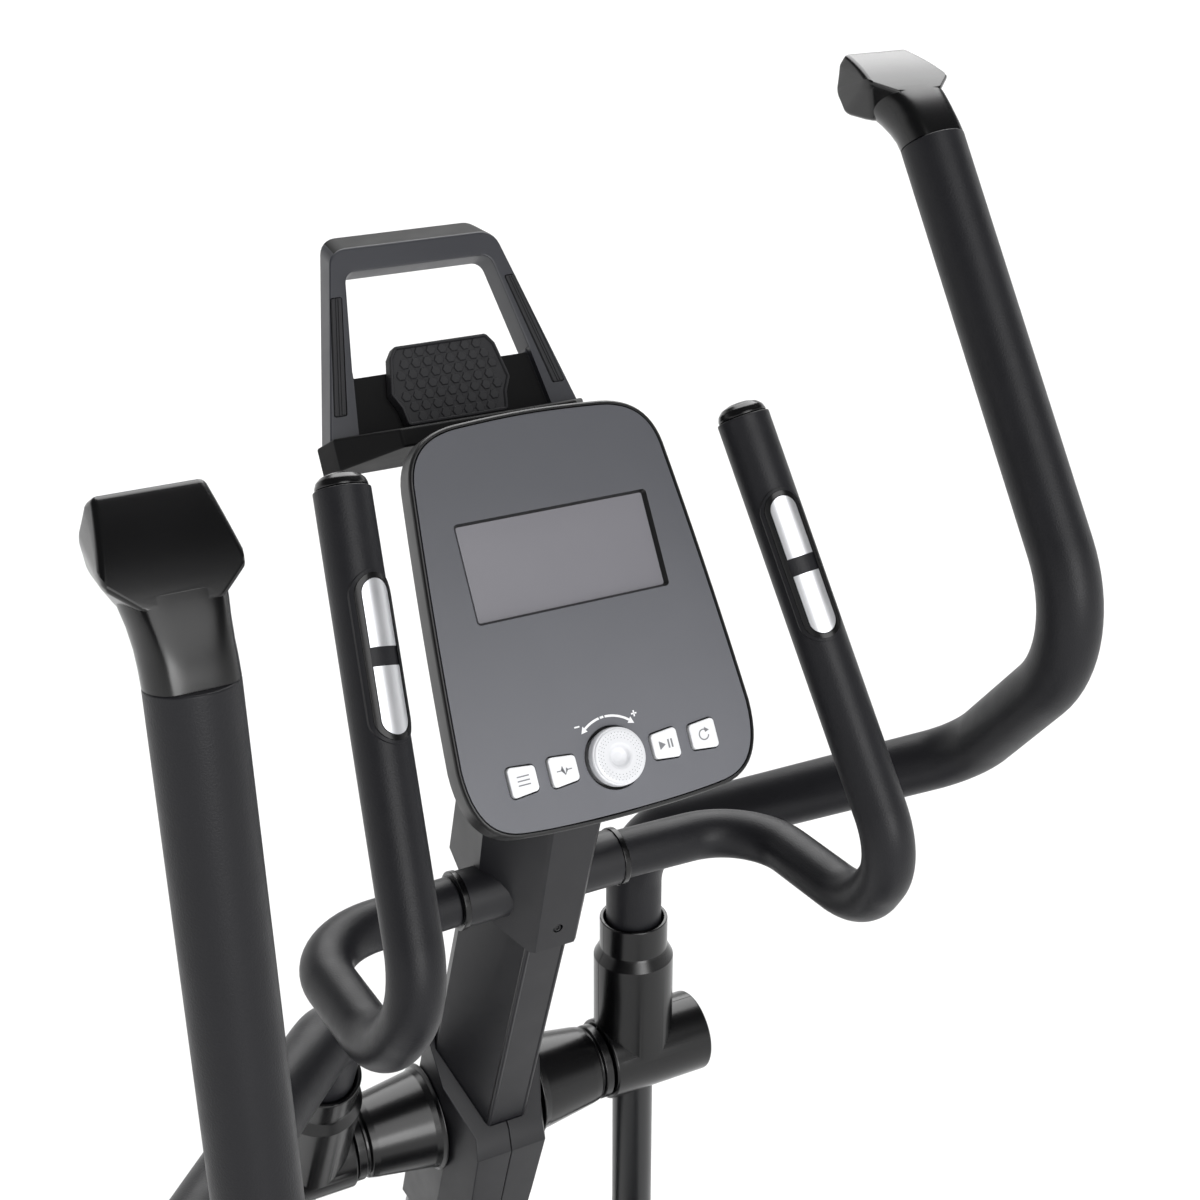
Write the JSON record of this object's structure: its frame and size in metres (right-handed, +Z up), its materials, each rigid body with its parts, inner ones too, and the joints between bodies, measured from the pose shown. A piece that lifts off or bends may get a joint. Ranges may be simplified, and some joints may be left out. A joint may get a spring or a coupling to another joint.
{
  "type": "elliptical trainer",
  "caption": "Upright elliptical trainer with swinging arms, fixed pulse grips, a console with keys and a dial, a tablet holder, pedal rails and a rear crank drive.",
  "frame": {"origin": "on the floor, under the middle of the bounding box", "axes": "+X to the user's right, +Y the way the user faces, +Z up"},
  "size_m": [0.6884, 1.2211, 1.6687],
  "materials": {
    "painted_steel": "smooth black powder coat",
    "satin_black": "satin moulded plastic with a faint grain",
    "gloss_black": "polished black moulded plastic",
    "rubber": "matte black rubber",
    "steel": "turned steel",
    "chrome": "polished chrome plate",
    "foam": "charcoal closed-cell foam with a fine skin",
    "face_grey": "satin grey plastic",
    "display": "grey unlit display behind a clear window",
    "key_white": "off-white satin plastic"
  },
  "bodies": {
    "frame": {"base_beam": "painted_steel", "front_stabilizer": "painted_steel", "rear_stabilizer": "painted_steel", "mast_lower": "painted_steel", "fixed_handlebar": "painted_steel", "mast_upper": "satin_black", "mast_collar_R": "satin_black", "mast_collar_L": "satin_black", "neck_cover": "satin_black", "console_back": "satin_black", "tablet_holder": "satin_black", "drive_cover_R": "satin_black", "drive_cover_L": "satin_black", "power_inlet": "satin_black", "pivot_cover_R": "gloss_black", "pivot_cover_L": "gloss_black", "fixed_grip_cap_R": "gloss_black", "fixed_grip_cap_L": "gloss_black", "pulse_bezel_R": "gloss_black", "pulse_bezel_L": "gloss_black", "rear_end_cap_R": "rubber", "rear_end_cap_L": "rubber", "phone_pad": "rubber", "holder_strip_R": "rubber", "holder_strip_L": "rubber", "drive_belt": "rubber", "pivot_axle": "steel", "pulse_plate_upper_R": "chrome", "pulse_plate_upper_L": "chrome", "pulse_plate_lower_R": "chrome", "pulse_plate_lower_L": "chrome", "fixed_grip_R": "foam", "fixed_grip_L": "foam", "console_face": "face_grey", "display_window": "display"},
    "crank": {"crank_axle": "steel", "crank_arm_R": "painted_steel", "crank_arm_L": "painted_steel", "drive_pulley": "satin_black"},
    "flywheel": {"flywheel": "steel"},
    "magnet_brake": {"magnet_brake": "painted_steel"},
    "arm_R": {"arm_hub_R": "painted_steel", "arm_cover_R": "gloss_black", "handle_R": "foam", "handle_cap_R": "gloss_black"},
    "arm_L": {"arm_hub_L": "painted_steel", "arm_cover_L": "gloss_black", "handle_L": "foam", "handle_cap_L": "gloss_black"},
    "rail_R": {"rail_R": "painted_steel", "pedal_R": "satin_black"},
    "rail_L": {"rail_L": "painted_steel", "pedal_L": "satin_black"},
    "wheel_R": {"transport_wheel_R": "satin_black"},
    "wheel_L": {"transport_wheel_L": "satin_black"},
    "mode_key": {"button_mode": "key_white"},
    "recovery_key": {"button_recovery": "key_white"},
    "start_key": {"button_start": "key_white"},
    "reset_key": {"button_reset": "key_white"},
    "dial": {"dial": "key_white"}
  },
  "joints": [
    {"name": "crank_turn", "type": "hinge", "parent": "frame", "child": "crank", "pos_m": [0, -0.43941, 0.33], "axis": [-1, 0, 0], "range_deg": [0, 180]},
    {"name": "flywheel_spin", "type": "hinge", "parent": "frame", "child": "flywheel", "pos_m": [0, -0.20941, 0.3], "axis": [-1, 0, 0], "range_deg": [-1, 1351]},
    {"name": "magnet_brake_swing", "type": "hinge", "parent": "frame", "child": "magnet_brake", "pos_m": [0, -0.15241, 0.172], "axis": [-1, 0, 0], "range_deg": [0, 3]},
    {"name": "arm_R_swing", "type": "hinge", "parent": "frame", "child": "arm_R", "pos_m": [0, 0.26059, 0.9], "axis": [1, 0, 0], "range_deg": [-0.1, 26.8]},
    {"name": "arm_L_swing", "type": "hinge", "parent": "frame", "child": "arm_L", "pos_m": [0, 0.26059, 0.9], "axis": [1, 0, 0], "range_deg": [-26.8, 0.1]},
    {"name": "rail_R_joint", "type": "hinge", "parent": "arm_R", "child": "rail_R", "pos_m": [0, 0.26059, 0.25], "axis": [1, 0, 0], "range_deg": [-22.11, 0.1]},
    {"name": "rail_L_joint", "type": "hinge", "parent": "arm_L", "child": "rail_L", "pos_m": [0, 0.55264, 0.31931], "axis": [1, 0, 0], "range_deg": [-0.1, 22.11]},
    {"name": "wheel_R_spin", "type": "hinge", "parent": "frame", "child": "wheel_R", "pos_m": [0.245, 0.58159, 0.031], "axis": [1, 0, 0], "continuous": true},
    {"name": "wheel_L_spin", "type": "hinge", "parent": "frame", "child": "wheel_L", "pos_m": [-0.245, 0.58159, 0.031], "axis": [1, 0, 0], "continuous": true},
    {"name": "dial_turn", "type": "hinge", "parent": "frame", "child": "dial", "pos_m": [0, 0.04126, 1.29936], "axis": [0, -0.8599, 0.5105], "continuous": true},
    {"name": "mode_press", "type": "slide", "parent": "frame", "child": "mode_key", "axis": [0, 0.8599, -0.5105], "range_m": [0, 0.0015], "stiffness_N_per_m": 300},
    {"name": "recovery_press", "type": "slide", "parent": "frame", "child": "recovery_key", "axis": [0, 0.8599, -0.5105], "range_m": [0, 0.0015], "stiffness_N_per_m": 300},
    {"name": "start_press", "type": "slide", "parent": "frame", "child": "start_key", "axis": [0, 0.8599, -0.5105], "range_m": [0, 0.0015], "stiffness_N_per_m": 300},
    {"name": "reset_press", "type": "slide", "parent": "frame", "child": "reset_key", "axis": [0, 0.8599, -0.5105], "range_m": [0, 0.0015], "stiffness_N_per_m": 300}
  ],
  "couplings": [
    {"joint": "flywheel_spin", "follows": "crank_turn", "ratio": 7.5},
    {"joint": "arm_R_swing", "follows": "crank_turn", "ratio": 0.14833},
    {"joint": "arm_L_swing", "follows": "crank_turn", "ratio": -0.14833},
    {"joint": "rail_R_joint", "follows": "crank_turn", "ratio": -0.12227},
    {"joint": "rail_L_joint", "follows": "crank_turn", "ratio": 0.12227}
  ]
}
